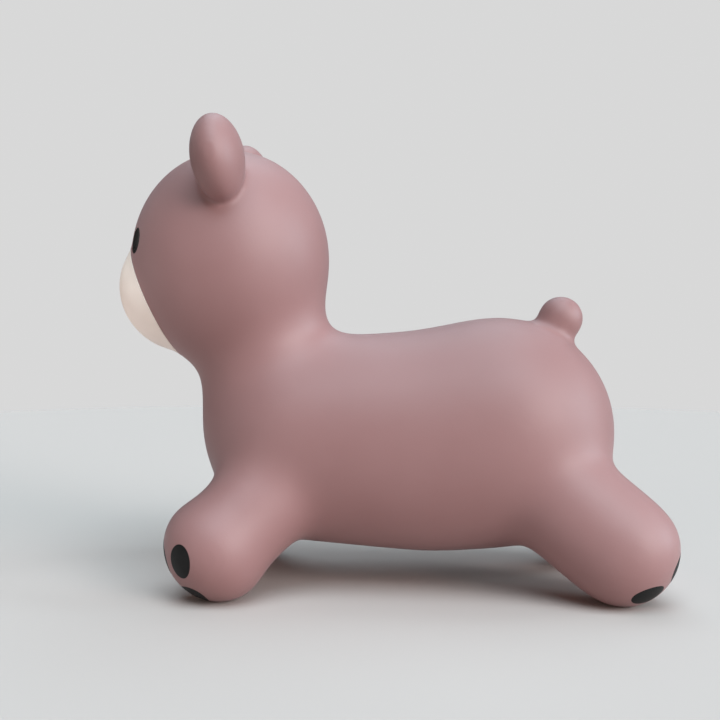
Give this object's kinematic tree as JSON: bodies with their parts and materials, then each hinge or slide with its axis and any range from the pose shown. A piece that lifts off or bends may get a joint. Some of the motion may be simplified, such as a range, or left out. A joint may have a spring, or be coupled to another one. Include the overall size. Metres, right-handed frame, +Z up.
{
  "type": "animal hopper",
  "caption": "Inflatable bear-shaped hopper for a small child to sit on and bounce: hollow soft vinyl body, round ears as grips, stub legs, painted muzzle and paw pads, push-in valve plug.",
  "frame": {"origin": "centre of the object's box on the floor, between the feet", "axes": "-X is the way the animal faces, -Y is its left side, +Z is up"},
  "size_m": [0.5946, 0.2986, 0.4955],
  "materials": {
    "mauve_vinyl": "satin soft PVC",
    "cream_paint": "matte vinyl paint",
    "eye_paint": "satin vinyl paint",
    "pad_paint": "matte vinyl paint",
    "plug_polyethylene": "satin polyethylene"
  },
  "bodies": {
    "body": {"skin": "mauve_vinyl", "muzzle_paint": "cream_paint", "nose_paint": "eye_paint", "left_eye_paint": "eye_paint", "right_eye_paint": "eye_paint", "front_left_heel_pad": "pad_paint", "front_left_inner_toe_pad": "pad_paint", "front_left_middle_toe_pad": "pad_paint", "front_left_outer_toe_pad": "pad_paint", "front_right_heel_pad": "pad_paint", "front_right_inner_toe_pad": "pad_paint", "front_right_middle_toe_pad": "pad_paint", "front_right_outer_toe_pad": "pad_paint", "hind_left_heel_pad": "pad_paint", "hind_left_inner_toe_pad": "pad_paint", "hind_left_middle_toe_pad": "pad_paint", "hind_left_outer_toe_pad": "pad_paint", "hind_right_heel_pad": "pad_paint", "hind_right_inner_toe_pad": "pad_paint", "hind_right_middle_toe_pad": "pad_paint", "hind_right_outer_toe_pad": "pad_paint"},
    "plug": {"valve_plug": "plug_polyethylene"}
  },
  "joints": [
    {"name": "plug_pull", "type": "slide", "parent": "body", "child": "plug", "axis": [0, 0, -1], "range_m": [0, 0.025]}
  ]
}
